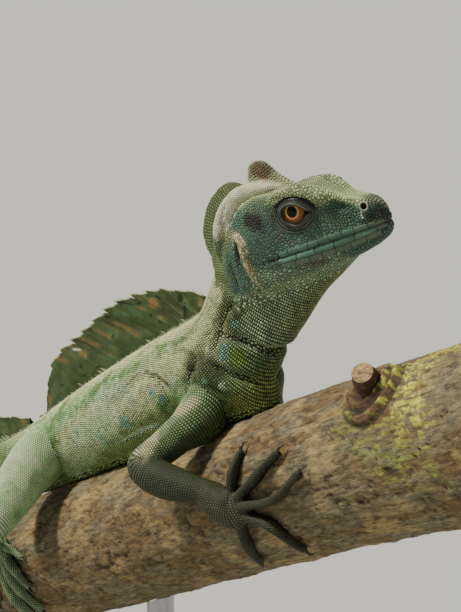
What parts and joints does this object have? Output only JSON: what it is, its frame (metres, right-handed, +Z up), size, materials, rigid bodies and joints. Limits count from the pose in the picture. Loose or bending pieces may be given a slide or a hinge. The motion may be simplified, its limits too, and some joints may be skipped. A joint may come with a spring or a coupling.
{
  "type": "green basilisk lizard model on a perch",
  "caption": "Life-size male green basilisk lizard with head, back and tail crests, gripping a short cut branch held over a flat base by two rods.",
  "frame": {"origin": "centre of the underside of the stand's base", "axes": "+Z up, +X the way the lizard's body points, +Y the lizard's left"},
  "size_m": [0.6492, 0.1527, 0.349],
  "materials": {
    "skin_head": "teal-green scaly skin, satin",
    "skin_body": "pale cream-green scaly skin with turquoise spots, satin",
    "skin_limb": "grey-green scaly skin with fine oblique rows, satin",
    "crest": "dark green skin sail with rust streaks, satin",
    "eye": "orange-gold iris with a dark pupil, wet gloss",
    "wood": "grey-brown bark with lichen, matt",
    "base": "black stained board, satin",
    "rod": "brushed steel rod"
  },
  "bodies": {
    "root": {"head": "skin_head", "jaw": "skin_head", "eye_right": "eye", "eye_left": "eye", "crest_head_front": "crest", "crest_head_rear": "crest", "neck": "skin_body", "torso": "skin_body", "crest_back": "crest", "tail_1": "skin_body", "tail_2": "skin_body", "tail_3": "skin_body", "tail_4": "skin_body", "crest_tail": "crest", "upper_arm_right": "skin_limb", "forearm_right": "skin_limb", "hand_right": "skin_limb", "upper_arm_left": "skin_limb", "forearm_left": "skin_limb", "hand_left": "skin_limb", "thigh_right": "skin_limb", "shank_right": "skin_limb", "foot_right": "skin_limb", "thigh_left": "skin_limb", "shank_left": "skin_limb", "foot_left": "skin_limb", "perch_branch": "wood", "stand_base": "base", "stand_rod_front": "rod", "stand_rod_rear": "rod"}
  },
  "joints": []
}
